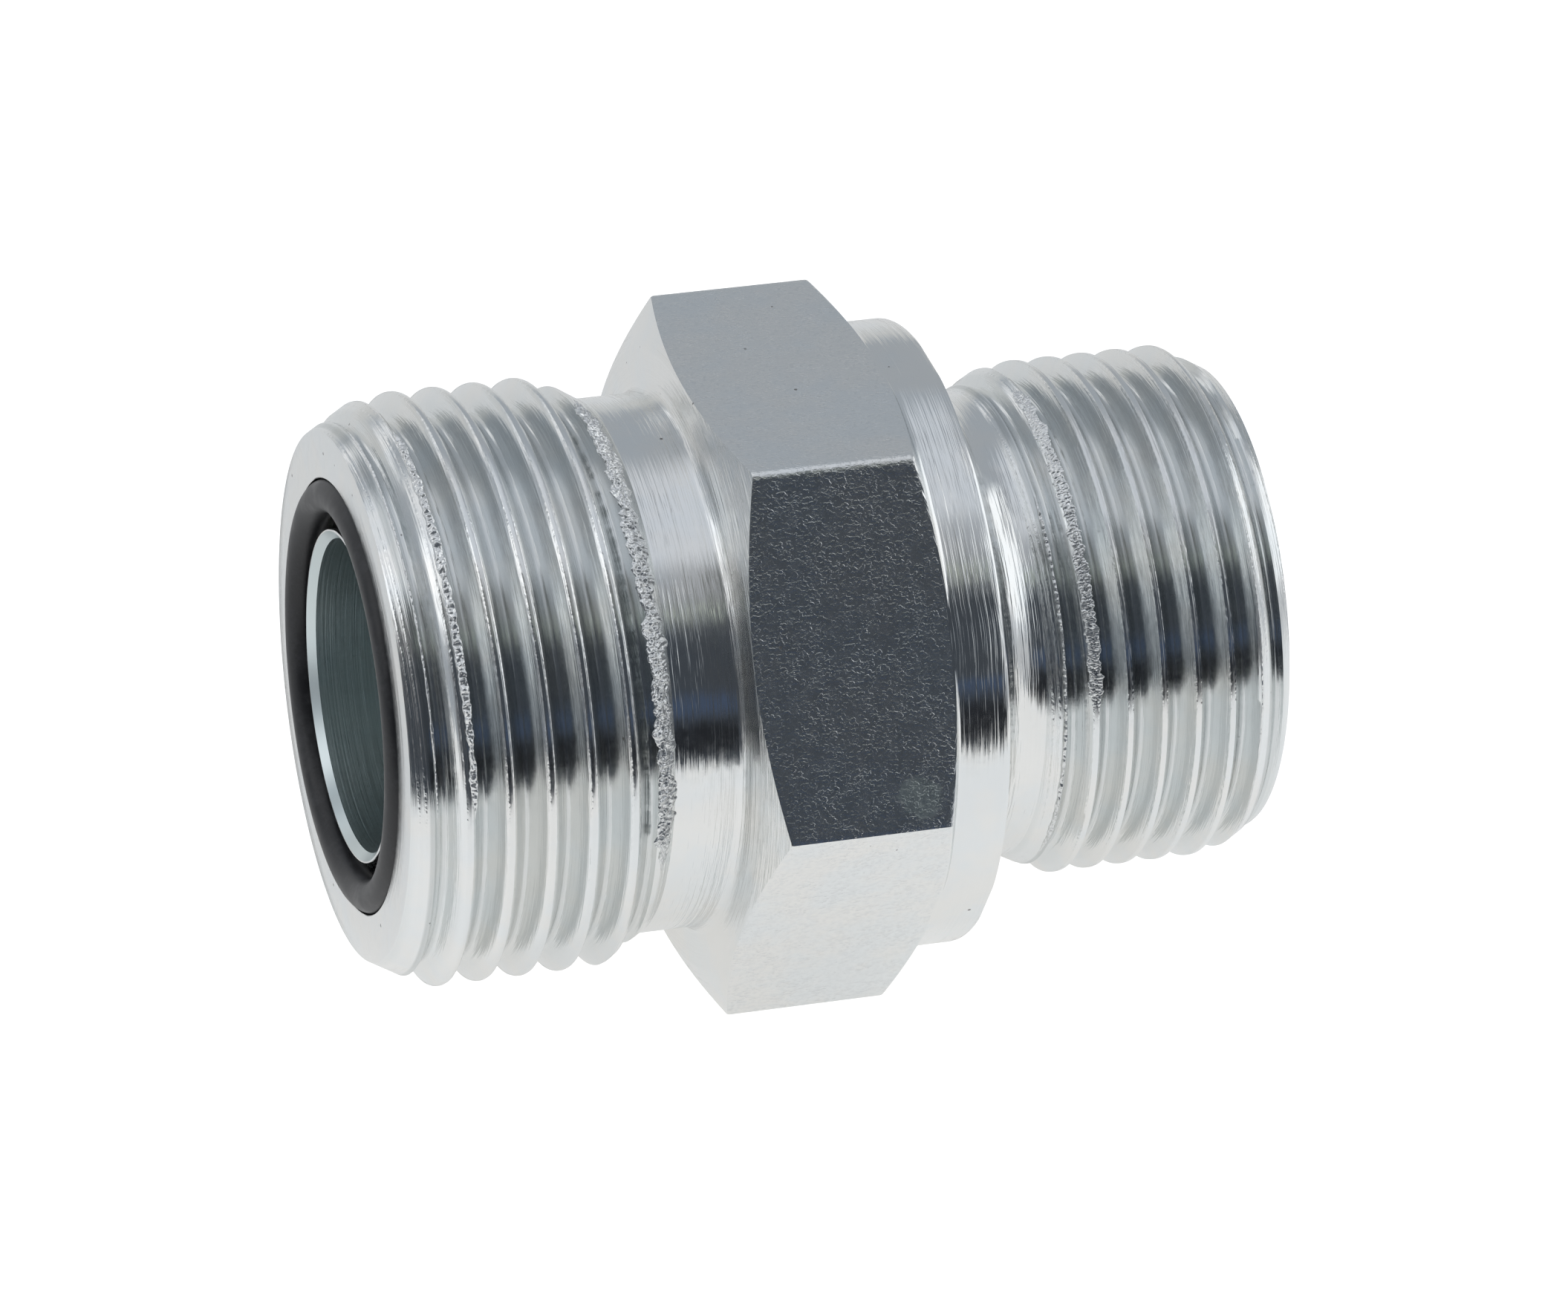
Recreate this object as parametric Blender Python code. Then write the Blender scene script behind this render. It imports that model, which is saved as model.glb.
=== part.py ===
"""Straight face seal fitting, built as it is made.

A piece of hexagon steel bar is bored, turned at both ends and threaded, and a rubber
ring sits in the groove of its sealing face. Metres, +Z up. The fitting lies on one of
its six flats, its axis along X, with the sealing face at the -X end.
"""
import math

import bmesh
import bpy

# Hexagon bar and collar
across_flats = 0.0320
hex_length = 0.01026
hex_chamfer_diameter = 0.0318
hex_chamfer_angle = math.radians(22)
collar_diameter = 0.03220
collar_length = 0.00279
collar_edge = 0.00015

# Bore
bore_diameter = 0.0160
mouth_chamfer = 0.0004
end_mouth_chamfer = 0.0006

# Rim between the bore and the ring's groove, set back from the sealing face
rim_wall = 0.0005
rim_set_back = 0.0002

# Rubber ring, and the room that its groove leaves it
ring_section = 0.00178
ring_stand_out = 0.00046
ring_inner_gap = 0.00052
seat_gap = 0.0003

# Face seal end, 12 turns an inch
face_thread_diameter = 0.03016
face_thread_pitch = 0.0254 / 12
face_lead_length = 0.0027
face_lead_depth = 0.001555
face_crest_length = 0.00856
face_runout_length = 0.00224
face_neck_length = 0.00365
face_neck_relief = 0.0001
face_neck_fillet = 0.0006
face_groove_at_top = 0.0011

# Port end, a parallel pipe thread of 14 turns an inch
port_thread_diameter = 0.02644
port_thread_pitch = 0.0254 / 14
port_undercut_length = 0.0032
port_undercut_relief = 0.00006
port_undercut_fillet = 0.0030
port_runin_length = 0.0023
port_crest_length = 0.00869
port_end_chamfer_length = 0.00194
port_end_chamfer_angle = math.radians(30)
port_groove_at_top = 0.0005

# Thread forms: crest and root widths as shares of the pitch, and the angle of a flank
FACE_FORM = {"crest": 1 / 8, "root": 1 / 6, "flank": math.radians(30)}
PORT_FORM = {"crest": 1 / 6, "root": 1 / 6, "flank": math.radians(27.5)}

# Fineness of the round shapes, and the edges that stay sharp between them
STEPS_AROUND = 40
STEPS_RING_SECTION = 12
STEPS_FILLET = 6
SHARP_ANGLE = math.radians(25)
MERGE_DISTANCE = 1e-7

# How far the cutting shapes reach past the metal: the turned blank outside the hexagon, the
# hexagon bar past both ends, and a thread cutter past its crest as a share of the pitch
turning_allowance = 0.001
bar_allowance = 0.005
THREAD_OVERRUN = 0.05


def thread_depth(form, pitch):
    return pitch * (1 - form["crest"] - form["root"]) / 2 / math.tan(form["flank"])


# Radii that follow from the sizes above
bore_radius = bore_diameter / 2
rim_radius = bore_radius + rim_wall
ring_mid_radius = rim_radius + ring_inner_gap + ring_section / 2
groove_radius = ring_mid_radius + ring_section / 2 + seat_gap
groove_depth = ring_section - ring_stand_out + seat_gap
face_thread_radius = face_thread_diameter / 2
face_radius = face_thread_radius - face_lead_depth
face_root_radius = face_thread_radius - thread_depth(FACE_FORM, face_thread_pitch)
neck_radius = face_root_radius - face_neck_relief
collar_radius = collar_diameter / 2
port_thread_radius = port_thread_diameter / 2
port_root_radius = port_thread_radius - thread_depth(PORT_FORM, port_thread_pitch)
undercut_radius = port_root_radius - port_undercut_relief
end_face_radius = port_thread_radius - port_end_chamfer_length * math.tan(port_end_chamfer_angle)
bar_corner_radius = across_flats / math.sqrt(3)
turning_radius = max(bar_corner_radius, collar_radius) + turning_allowance

# Places along the axis, from the sealing face
lead_end = face_lead_length
runout_start = lead_end + face_crest_length
neck_start = runout_start + face_runout_length
hex_start = neck_start + face_neck_length
collar_start = hex_start + hex_length
shoulder = collar_start + collar_length
undercut_end = shoulder + port_undercut_length
port_crest_start = undercut_end + port_runin_length
end_chamfer_start = port_crest_start + port_crest_length
body_length = end_chamfer_start + port_end_chamfer_length

# The origin is under the middle of the whole part, on the surface that it lies on
face_x = (ring_stand_out - body_length) / 2
axis_height = across_flats / 2


def clear_scene():
    for obj in list(bpy.data.objects):
        bpy.data.objects.remove(obj, do_unlink=True)


def make_material(name, colour, metallic, roughness):
    material = bpy.data.materials.new(name)
    material.use_nodes = True
    shader = material.node_tree.nodes["Principled BSDF"]
    shader.inputs["Base Color"].default_value = (*colour, 1.0)
    shader.inputs["Metallic"].default_value = metallic
    shader.inputs["Roughness"].default_value = roughness
    return material


def add_object(name, mesh_builder):
    """Turn a bmesh into an object of the scene."""
    mesh = bpy.data.meshes.new(name)
    mesh_builder.to_mesh(mesh)
    mesh_builder.free()
    obj = bpy.data.objects.new(name, mesh)
    bpy.context.scene.collection.objects.link(obj)
    return obj


def hollow_fillet(centre_x, centre_radius, size, start_angle):
    """Points of a hollow quarter circle, in the plane of axis and radius."""
    angles = [start_angle + math.pi / 2 * k / STEPS_FILLET for k in range(STEPS_FILLET + 1)]
    return [(centre_x + size * math.cos(a), centre_radius + size * math.sin(a)) for a in angles]


def turned_outline():
    """The section of the turned and bored bar: distance from the sealing face, and radius."""
    chamfer_slope = math.tan(hex_chamfer_angle)
    hex_chamfer_radius = hex_chamfer_diameter / 2
    front_cone = (turning_radius - hex_chamfer_radius) * chamfer_slope
    back_cone = (turning_radius - collar_radius) * chamfer_slope
    face_end = [
        (rim_set_back + mouth_chamfer, bore_radius),
        (rim_set_back, bore_radius + mouth_chamfer),
        (rim_set_back, rim_radius),
        (groove_depth, rim_radius),
        (groove_depth, groove_radius),
        (0.0, groove_radius),
        (0.0, face_radius),
        (lead_end, face_thread_radius),
        (runout_start, face_thread_radius),
        (neck_start, neck_radius),
    ]
    neck_to_hex = hollow_fillet(
        hex_start - face_neck_fillet, neck_radius + face_neck_fillet, face_neck_fillet, -math.pi / 2
    )
    hexagon_and_collar = [
        (hex_start, hex_chamfer_radius),
        (hex_start + front_cone, turning_radius),
        (collar_start - back_cone, turning_radius),
        (collar_start, collar_radius),
        (shoulder - collar_edge, collar_radius),
        (shoulder, collar_radius - collar_edge),
    ]
    shoulder_height = collar_radius - collar_edge - undercut_radius
    undercut_fillet = min(port_undercut_fillet, port_undercut_length, shoulder_height)
    shoulder_to_undercut = hollow_fillet(
        shoulder + undercut_fillet, undercut_radius + undercut_fillet, undercut_fillet, math.pi
    )
    port_end = [
        (undercut_end, undercut_radius),
        (port_crest_start, port_thread_radius),
        (end_chamfer_start, port_thread_radius),
        (body_length, end_face_radius),
        (body_length, bore_radius + end_mouth_chamfer),
        (body_length - end_mouth_chamfer, bore_radius),
    ]
    return face_end + neck_to_hex + hexagon_and_collar + shoulder_to_undercut + port_end


def turn_blank():
    """Spin the outline round the axis."""
    builder = bmesh.new()
    loop = [builder.verts.new((face_x + x, 0.0, axis_height + radius)) for x, radius in turned_outline()]
    edges = [builder.edges.new((loop[k], loop[(k + 1) % len(loop)])) for k in range(len(loop))]
    bmesh.ops.spin(
        builder,
        geom=loop + edges,
        cent=(0.0, 0.0, axis_height),
        axis=(1.0, 0.0, 0.0),
        angle=math.tau,
        steps=STEPS_AROUND,
        use_merge=True,
    )
    bmesh.ops.remove_doubles(builder, verts=builder.verts, dist=MERGE_DISTANCE)
    bmesh.ops.recalc_face_normals(builder, faces=builder.faces)
    return add_object("fitting_body", builder)


def make_hex_bar():
    """The hexagon bar, longer than the part, with one flat up and one down."""
    builder = bmesh.new()
    corners = [
        builder.verts.new((
            face_x - bar_allowance,
            bar_corner_radius * math.cos(math.tau * k / 6),
            axis_height + bar_corner_radius * math.sin(math.tau * k / 6),
        ))
        for k in range(6)
    ]
    end = builder.faces.new(corners)
    drawn = bmesh.ops.extrude_face_region(builder, geom=[end])["geom"]
    far_corners = [item for item in drawn if isinstance(item, bmesh.types.BMVert)]
    bmesh.ops.translate(builder, verts=far_corners, vec=(body_length + 2 * bar_allowance, 0.0, 0.0))
    bmesh.ops.recalc_face_normals(builder, faces=builder.faces)
    return add_object("cut_hex_bar", builder)


def make_thread_cutter(name, thread_radius, pitch, form, groove_at_top, first, last):
    """A right-handed helical ridge of the thread groove's shape.

    groove_at_top is where a groove crosses the top line. first and last are where the
    groove's middle begins and ends along the axis, all from the sealing face. The ridge's
    sections lie half a step away from the blank's edges, so that no corners coincide.
    """
    slope = math.tan(form["flank"])
    overrun = THREAD_OVERRUN * pitch
    depth = thread_depth(form, pitch)
    half_at_crest = pitch * (1 - form["crest"]) / 2
    section = [
        (-half_at_crest - overrun * slope, thread_radius + overrun),
        (-half_at_crest + depth * slope, thread_radius - depth),
        (half_at_crest - depth * slope, thread_radius - depth),
        (half_at_crest + overrun * slope, thread_radius + overrun),
    ]
    first_step = math.floor((first - groove_at_top) / pitch * STEPS_AROUND)
    last_step = math.ceil((last - groove_at_top) / pitch * STEPS_AROUND)
    builder = bmesh.new()
    rows = []
    for step in range(first_step, last_step + 1):
        turns = (step + 0.5) / STEPS_AROUND
        middle = face_x + groove_at_top + turns * pitch
        angle = turns * math.tau
        rows.append([
            builder.verts.new((
                middle + x,
                -radius * math.sin(angle),
                axis_height + radius * math.cos(angle),
            ))
            for x, radius in section
        ])
    corners = len(section)
    for row, next_row in zip(rows, rows[1:]):
        for k in range(corners):
            after = (k + 1) % corners
            builder.faces.new((row[k], row[after], next_row[after], next_row[k]))
    builder.faces.new(rows[0][::-1])
    builder.faces.new(rows[-1])
    bmesh.ops.triangulate(builder, faces=builder.faces)
    bmesh.ops.recalc_face_normals(builder, faces=builder.faces)
    return add_object(name, builder)


def cut(target, tool, operation):
    """Cut the target with a tool, which stays as a hidden guide."""
    tool.hide_render = True
    tool.display_type = "WIRE"
    modifier = target.modifiers.new(tool.name, "BOOLEAN")
    modifier.operation = operation
    modifier.solver = "EXACT"
    modifier.object = tool


def shade_round(obj):
    obj.data.shade_smooth()
    obj.data.set_sharp_from_angle(angle=SHARP_ANGLE)


def make_fitting_body():
    """The turned bar, kept to the hexagon and threaded at both ends."""
    body = turn_blank()
    cut(body, make_hex_bar(), "INTERSECT")
    cut(
        body,
        make_thread_cutter(
            "cut_face_thread", face_thread_radius, face_thread_pitch, FACE_FORM,
            face_groove_at_top, -face_thread_pitch, neck_start + FACE_FORM["root"] * face_thread_pitch,
        ),
        "DIFFERENCE",
    )
    cut(
        body,
        make_thread_cutter(
            "cut_port_thread", port_thread_radius, port_thread_pitch, PORT_FORM,
            shoulder + port_groove_at_top,
            undercut_end - PORT_FORM["root"] * port_thread_pitch, body_length + port_thread_pitch,
        ),
        "DIFFERENCE",
    )
    body.data.materials.append(make_material("zinc_plated_steel", (0.62, 0.65, 0.66), 1.0, 0.24))
    shade_round(body)
    return body


def make_face_o_ring():
    """The rubber ring, standing out of the groove until it is squeezed."""
    bpy.ops.mesh.primitive_torus_add(
        major_segments=STEPS_AROUND,
        minor_segments=STEPS_RING_SECTION,
        major_radius=ring_mid_radius,
        minor_radius=ring_section / 2,
        location=(face_x + ring_section / 2 - ring_stand_out, 0.0, axis_height),
        rotation=(0.0, math.pi / 2, 0.0),
    )
    ring = bpy.context.object
    ring.name = "face_o_ring"
    ring.data.name = "face_o_ring"
    ring.data.materials.append(make_material("nitrile_rubber", (0.035, 0.035, 0.040), 0.0, 0.42))
    shade_round(ring)
    return ring


clear_scene()
make_fitting_body()
make_face_o_ring()
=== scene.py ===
import math

import bmesh
import bpy
import numpy as np
from mathutils import Euler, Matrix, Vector


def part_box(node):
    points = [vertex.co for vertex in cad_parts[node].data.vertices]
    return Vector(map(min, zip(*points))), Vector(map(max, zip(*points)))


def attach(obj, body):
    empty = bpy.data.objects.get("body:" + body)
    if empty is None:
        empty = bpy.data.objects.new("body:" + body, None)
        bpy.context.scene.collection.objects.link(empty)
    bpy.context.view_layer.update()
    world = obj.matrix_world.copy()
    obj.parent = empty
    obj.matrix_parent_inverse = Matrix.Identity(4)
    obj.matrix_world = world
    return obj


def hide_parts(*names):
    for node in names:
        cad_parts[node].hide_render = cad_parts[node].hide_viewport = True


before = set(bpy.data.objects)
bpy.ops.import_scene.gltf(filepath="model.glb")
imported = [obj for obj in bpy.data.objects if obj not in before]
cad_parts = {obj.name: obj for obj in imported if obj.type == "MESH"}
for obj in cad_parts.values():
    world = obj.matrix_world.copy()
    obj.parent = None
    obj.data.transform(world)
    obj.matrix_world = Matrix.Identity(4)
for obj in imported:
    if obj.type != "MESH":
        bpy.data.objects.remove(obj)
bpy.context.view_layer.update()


# The view. The fitting was photographed from a little above, from its face seal side, with a
# long lens and the camera turned slightly. The lens, angles and distance come from a fit of the
# camera to the pitches and diameters of the two threads.

camera_lens = 208.451
camera_sensor = 36.0
camera_azimuth = math.radians(18.0611)
camera_elevation = math.radians(31.2430)
camera_roll = math.radians(2.8937)
camera_distance = 0.463834
camera_aim = Vector((0.000272, -0.000050, 0.016061))

camera_data = bpy.data.cameras.new("photo_camera")
camera_data.lens = camera_lens
camera_data.sensor_width = camera_sensor
camera = bpy.data.objects.new("photo_camera", camera_data)
turn = Euler((math.pi / 2 - camera_elevation, 0.0, -camera_azimuth)).to_quaternion()
turn = turn @ Euler((0.0, 0.0, camera_roll)).to_quaternion()
camera.rotation_mode = "QUATERNION"
camera.rotation_quaternion = turn
camera.location = camera_aim + turn @ Vector((0.0, 0.0, camera_distance))
bpy.context.scene.collection.objects.link(camera)
bpy.context.scene.camera = camera


# The two threads. Both are cut into the turned bar: an inch thread of 12 turns an inch on the
# face seal end, and a pipe thread of 14 turns an inch on the port end. Each is one surface,
# whose columns follow the helix, from a grid that Geometry Nodes bend round the axis.

cad_low, cad_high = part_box("fitting_body")
face_x = cad_low.x
axis_height = (cad_low.z + cad_high.z) / 2
bar_corners = 6
rows_around = 288
row_crowding = 0.6
columns_per_pitch = 16
column_crowding = 0.6
weld_distance = 2e-6

thread_sizes = {
    "face_thread": {
        "Start": 0.00003,
        "End": 0.01350,
        "Pitch": 0.0254 / 12,
        "Crest at top": 0.00428,
        "Crest radius": 0.01508,
        "Crest width": 0.00030,
        "Crest rounding": 0.00022,
        "Root radius": 0.01378,
        "Root rounding": 0.00022,
        "Flank angle": math.radians(30),
        "Front radius": 0.01354,
        "Front length": 0.00267,
        "Back radius": 0.01368,
        "Back length": 0.00224,
    },
    "port_thread": {
        "Start": 0.03340,
        "End": 0.04633,
        "Pitch": 0.0254 / 14,
        "Crest at top": 0.03706,
        "Crest radius": 0.01322,
        "Crest width": 0.00030,
        "Crest rounding": 0.00018,
        "Root radius": 0.01206,
        "Root rounding": 0.00025,
        "Flank angle": math.radians(27.5),
        "Front radius": 0.01200,
        "Front length": 0.00230,
        "Back radius": 0.01202,
        "Back length": 0.00208,
    },
}


def place(tree, kind, *inputs, **settings):
    """Add a node to a tree. Each input is a socket to link, a plain value, or None to leave it."""
    node = tree.nodes.new(kind)
    for name, value in settings.items():
        setattr(node, name, value)
    for socket, value in zip(node.inputs, inputs):
        if isinstance(value, bpy.types.NodeSocket):
            tree.links.new(value, socket)
        elif value is not None:
            socket.default_value = value
    return node


def calc(tree, operation, *values):
    return place(tree, "ShaderNodeMath", *values, operation=operation).outputs[0]


def ramp_between(tree, value, low, high, at_low, at_high):
    """Run in a straight line from at_low to at_high as the value goes from low to high."""
    return place(tree, "ShaderNodeMapRange", value, low, high, at_low, at_high).outputs[0]


def start_mesh_tree(name, numbers, counts):
    """A Geometry Nodes tree with these inputs and those that every bent grid needs."""
    tree = bpy.data.node_groups.new(name, "GeometryNodeTree")
    for label in (*numbers, "Face place", "Axis height", "Weld distance"):
        tree.interface.new_socket(label, in_out="INPUT", socket_type="NodeSocketFloat")
    for label in counts:
        tree.interface.new_socket(label, in_out="INPUT", socket_type="NodeSocketInt")
    tree.interface.new_socket("Material", in_out="INPUT", socket_type="NodeSocketMaterial")
    tree.interface.new_socket("Geometry", in_out="OUTPUT", socket_type="NodeSocketGeometry")
    return tree, place(tree, "NodeGroupInput").outputs


def grid_places(tree, points_round):
    """The column and the row of each point of a grid."""
    index = place(tree, "GeometryNodeInputIndex").outputs[0]
    column = calc(tree, "DIVIDE", calc(tree, "ADD", index, 0.5), points_round)
    column = calc(tree, "FLOOR", column)
    return column, calc(tree, "SUBTRACT", index, calc(tree, "MULTIPLY", column, points_round))


def finish_mesh_tree(tree, size, grid, along, sideways, upwards):
    """Bend the grid to these places, close its seams and give it its material."""
    spot = place(tree, "ShaderNodeCombineXYZ", along, sideways, upwards).outputs[0]
    bent = place(tree, "GeometryNodeSetPosition", grid.outputs[0], None, spot)
    welded = place(tree, "GeometryNodeMergeByDistance", bent.outputs[0])
    tree.links.new(size["Weld distance"], welded.inputs["Distance"])
    real = place(tree, "GeometryNodeRealizeInstances", welded.outputs[0])
    finished = place(tree, "GeometryNodeSetMaterial", real.outputs[0])
    tree.links.new(size["Material"], finished.inputs["Material"])
    place(tree, "NodeGroupOutput", finished.outputs[0])


def make_thread_tree(input_names):
    """Bend a grid into a threaded surface: x from the sealing face, then round the axis."""
    numbers = (*input_names, "Row crowding", "Column crowding")
    tree, size = start_mesh_tree("threaded surface", numbers, ("Rows", "Columns per pitch"))

    first_turn = calc(tree, "SUBTRACT", size["Start"], size["Crest at top"])
    first_turn = calc(tree, "FLOOR", calc(tree, "DIVIDE", first_turn, size["Pitch"]))
    first_turn = calc(tree, "SUBTRACT", first_turn, 1.0)
    last_turn = calc(tree, "SUBTRACT", size["End"], size["Crest at top"])
    last_turn = calc(tree, "CEIL", calc(tree, "DIVIDE", last_turn, size["Pitch"]))
    turns = calc(tree, "SUBTRACT", last_turn, first_turn)
    columns = calc(tree, "MULTIPLY_ADD", turns, size["Columns per pitch"], 1.0)
    points_around = calc(tree, "ADD", size["Rows"], 1.0)
    grid = place(tree, "GeometryNodeMeshGrid", 1.0, 1.0, columns, points_around)

    column, row = grid_places(tree, points_around)
    even_angle = calc(tree, "MULTIPLY", calc(tree, "DIVIDE", row, size["Rows"]), math.tau)
    crowd = calc(tree, "SINE", calc(tree, "MULTIPLY", even_angle, float(bar_corners)))
    crowding = calc(tree, "DIVIDE", size["Row crowding"], float(bar_corners))
    crowd = calc(tree, "MULTIPLY", crowd, crowding)
    angle = calc(tree, "ADD", even_angle, crowd)
    turned = calc(tree, "DIVIDE", angle, math.tau)

    even_turn = calc(tree, "ADD", first_turn, calc(tree, "DIVIDE", column, size["Columns per pitch"]))
    crowd = calc(tree, "SINE", calc(tree, "MULTIPLY", even_turn, 2 * math.tau))
    crowd = calc(tree, "MULTIPLY", crowd, calc(tree, "DIVIDE", size["Column crowding"], 2 * math.tau))
    helix_turn = calc(tree, "ADD", calc(tree, "SUBTRACT", even_turn, crowd), turned)
    along = calc(tree, "MULTIPLY_ADD", helix_turn, size["Pitch"], size["Crest at top"])
    along = calc(tree, "MINIMUM", calc(tree, "MAXIMUM", along, size["Start"]), size["End"])

    phase = calc(tree, "DIVIDE", calc(tree, "SUBTRACT", along, size["Crest at top"]), size["Pitch"])
    off_crest = calc(tree, "PINGPONG", calc(tree, "SUBTRACT", phase, turned), 0.5)
    off_crest = calc(tree, "MULTIPLY", off_crest, size["Pitch"])
    off_edge = calc(tree, "SUBTRACT", off_crest, calc(tree, "DIVIDE", size["Crest width"], 2.0))
    flank = calc(tree, "DIVIDE", off_edge, calc(tree, "TANGENT", size["Flank angle"]))
    flank = calc(tree, "SUBTRACT", size["Crest radius"], flank)
    thread = calc(tree, "SMOOTH_MIN", flank, size["Crest radius"], size["Crest rounding"])
    thread = calc(tree, "SMOOTH_MAX", thread, size["Root radius"], size["Root rounding"])

    front_end = calc(tree, "ADD", size["Start"], size["Front length"])
    front = ramp_between(
        tree, along, size["Start"], front_end, size["Front radius"], size["Crest radius"]
    )
    back_start = calc(tree, "SUBTRACT", size["End"], size["Back length"])
    back = ramp_between(
        tree, along, back_start, size["End"], size["Crest radius"], size["Back radius"]
    )
    blank = calc(tree, "MINIMUM", front, back)
    edge_rounding = calc(tree, "MULTIPLY", size["Crest rounding"], 0.3)
    radius = calc(tree, "SMOOTH_MIN", blank, thread, edge_rounding)

    sideways = calc(tree, "MULTIPLY", calc(tree, "MULTIPLY", radius, calc(tree, "SINE", angle)), -1.0)
    upwards = calc(tree, "MULTIPLY_ADD", radius, calc(tree, "COSINE", angle), size["Axis height"])
    along = calc(tree, "ADD", along, size["Face place"])
    finish_mesh_tree(tree, size, grid, along, sideways, upwards)
    return tree


def make_bent_mesh(name, sizes, tree, material):
    """The plain mesh that a tree makes with these sizes."""
    carrier = bpy.data.objects.new(name, bpy.data.meshes.new(name))
    bpy.context.scene.collection.objects.link(carrier)
    modifier = carrier.modifiers.new(tree.name, "NODES")
    modifier.node_group = tree
    shared = {
        "Face place": face_x,
        "Axis height": axis_height,
        "Weld distance": weld_distance,
        "Material": material,
    }
    for item in tree.interface.items_tree:
        if item.item_type == "SOCKET" and item.in_out == "INPUT":
            value = sizes.get(item.name, shared.get(item.name))
            modifier[item.identifier] = float(value) if item.socket_type == "NodeSocketFloat" else value
    evaluated = carrier.evaluated_get(bpy.context.evaluated_depsgraph_get())
    mesh = bpy.data.meshes.new_from_object(evaluated)
    bpy.data.objects.remove(carrier)
    return mesh


def new_group(name, inputs, outputs):
    """A shader node group with these sockets. An input called Position is a vector."""
    group = bpy.data.node_groups.new(name, "ShaderNodeTree")
    for label in inputs:
        kind = "NodeSocketVector" if label == "Position" else "NodeSocketFloat"
        group.interface.new_socket(label, in_out="INPUT", socket_type=kind)
    for label, kind in outputs.items():
        group.interface.new_socket(label, in_out="OUTPUT", socket_type="NodeSocket" + kind)
    return group, place(group, "NodeGroupInput").outputs


def use(tree, group, *inputs):
    return place(tree, "ShaderNodeGroup", *inputs, node_tree=group).outputs


def noise(tree, spot, w=None, detail=3.0, roughness=0.5):
    """Noise with one lump per unit of its coordinates, in three dimensions or, with w, in four."""
    node = place(tree, "ShaderNodeTexNoise", spot, w, 1.0, detail, roughness)
    node.noise_dimensions = "3D" if w is None else "4D"
    return node.outputs[0]


def blend_colours(tree, share, first, second):
    node = place(tree, "ShaderNodeMix", data_type="RGBA")
    for socket, value in zip((node.inputs[0], node.inputs[6], node.inputs[7]), (share, first, second)):
        if isinstance(value, bpy.types.NodeSocket):
            tree.links.new(value, socket)
        else:
            socket.default_value = value
    return node.outputs[2]


def scaled(tree, spot, along, across=None):
    """Places stretched along the axis and across it, or evenly where across isn't given."""
    across = along if across is None else across
    factors = (along, across, across)
    return place(tree, "ShaderNodeVectorMath", spot, factors, operation="MULTIPLY").outputs[0]


def distance(tree, spot, other):
    return place(tree, "ShaderNodeVectorMath", spot, other, operation="DISTANCE").outputs["Value"]


def soft_step(tree, value, low, high):
    """0 below low and 1 above high, or the other way round where low is the greater."""
    if low < high:
        ends = (low, high, 0.0, 1.0)
    else:
        ends = (high, low, 1.0, 0.0)
    return place(tree, "ShaderNodeMapRange", value, *ends, interpolation_type="SMOOTHSTEP").outputs[0]


def make_axis_group():
    """Places in millimetres: along from the sealing face, and sideways and up from the axis."""
    kinds = {"Along": "Float", "Radius": "Float", "Turn": "Float", "Spot": "Vector"}
    group, _ = new_group("axis places", [], kinds)
    spot = place(group, "ShaderNodeTexCoord").outputs["Object"]
    parts = place(group, "ShaderNodeSeparateXYZ", spot).outputs
    along = calc(group, "MULTIPLY", calc(group, "SUBTRACT", parts[0], face_x), 1000.0)
    side = calc(group, "MULTIPLY", parts[1], -1000.0)
    up = calc(group, "MULTIPLY", calc(group, "SUBTRACT", parts[2], axis_height), 1000.0)
    squares = calc(group, "MULTIPLY", side, side)
    squares = calc(group, "ADD", squares, calc(group, "MULTIPLY", up, up))
    turn = calc(group, "DIVIDE", calc(group, "ARCTAN2", side, up), math.tau)
    spot = place(group, "ShaderNodeCombineXYZ", along, side, up).outputs[0]
    place(group, "NodeGroupOutput", along, calc(group, "SQRT", squares), turn, spot)
    return group


def make_tool_lines_group():
    """The fine lines that a turning tool leaves, straight round the axis and each a little broken."""
    group, given = new_group("tool lines", ["Place", "Turn", "Spacing", "Breaks"], {"Height": "Float"})
    angle = calc(group, "MULTIPLY", given["Turn"], math.tau)
    cosine, sine = calc(group, "COSINE", angle), calc(group, "SINE", angle)
    across = calc(group, "DIVIDE", given["Place"], given["Spacing"])
    sideways = calc(group, "MULTIPLY", cosine, given["Breaks"])
    upwards = calc(group, "MULTIPLY", sine, given["Breaks"])
    spot = place(group, "ShaderNodeCombineXYZ", across, sideways, upwards).outputs[0]
    place(group, "NodeGroupOutput", noise(group, spot, detail=3.0, roughness=0.6))
    return group


bluish_plate = (0.79, 0.812, 0.818, 1.0)
yellowish_plate = (0.82, 0.82, 0.805, 1.0)
dirt = (0.16, 0.15, 0.14, 1.0)
specks_left_out = 0.69


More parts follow.
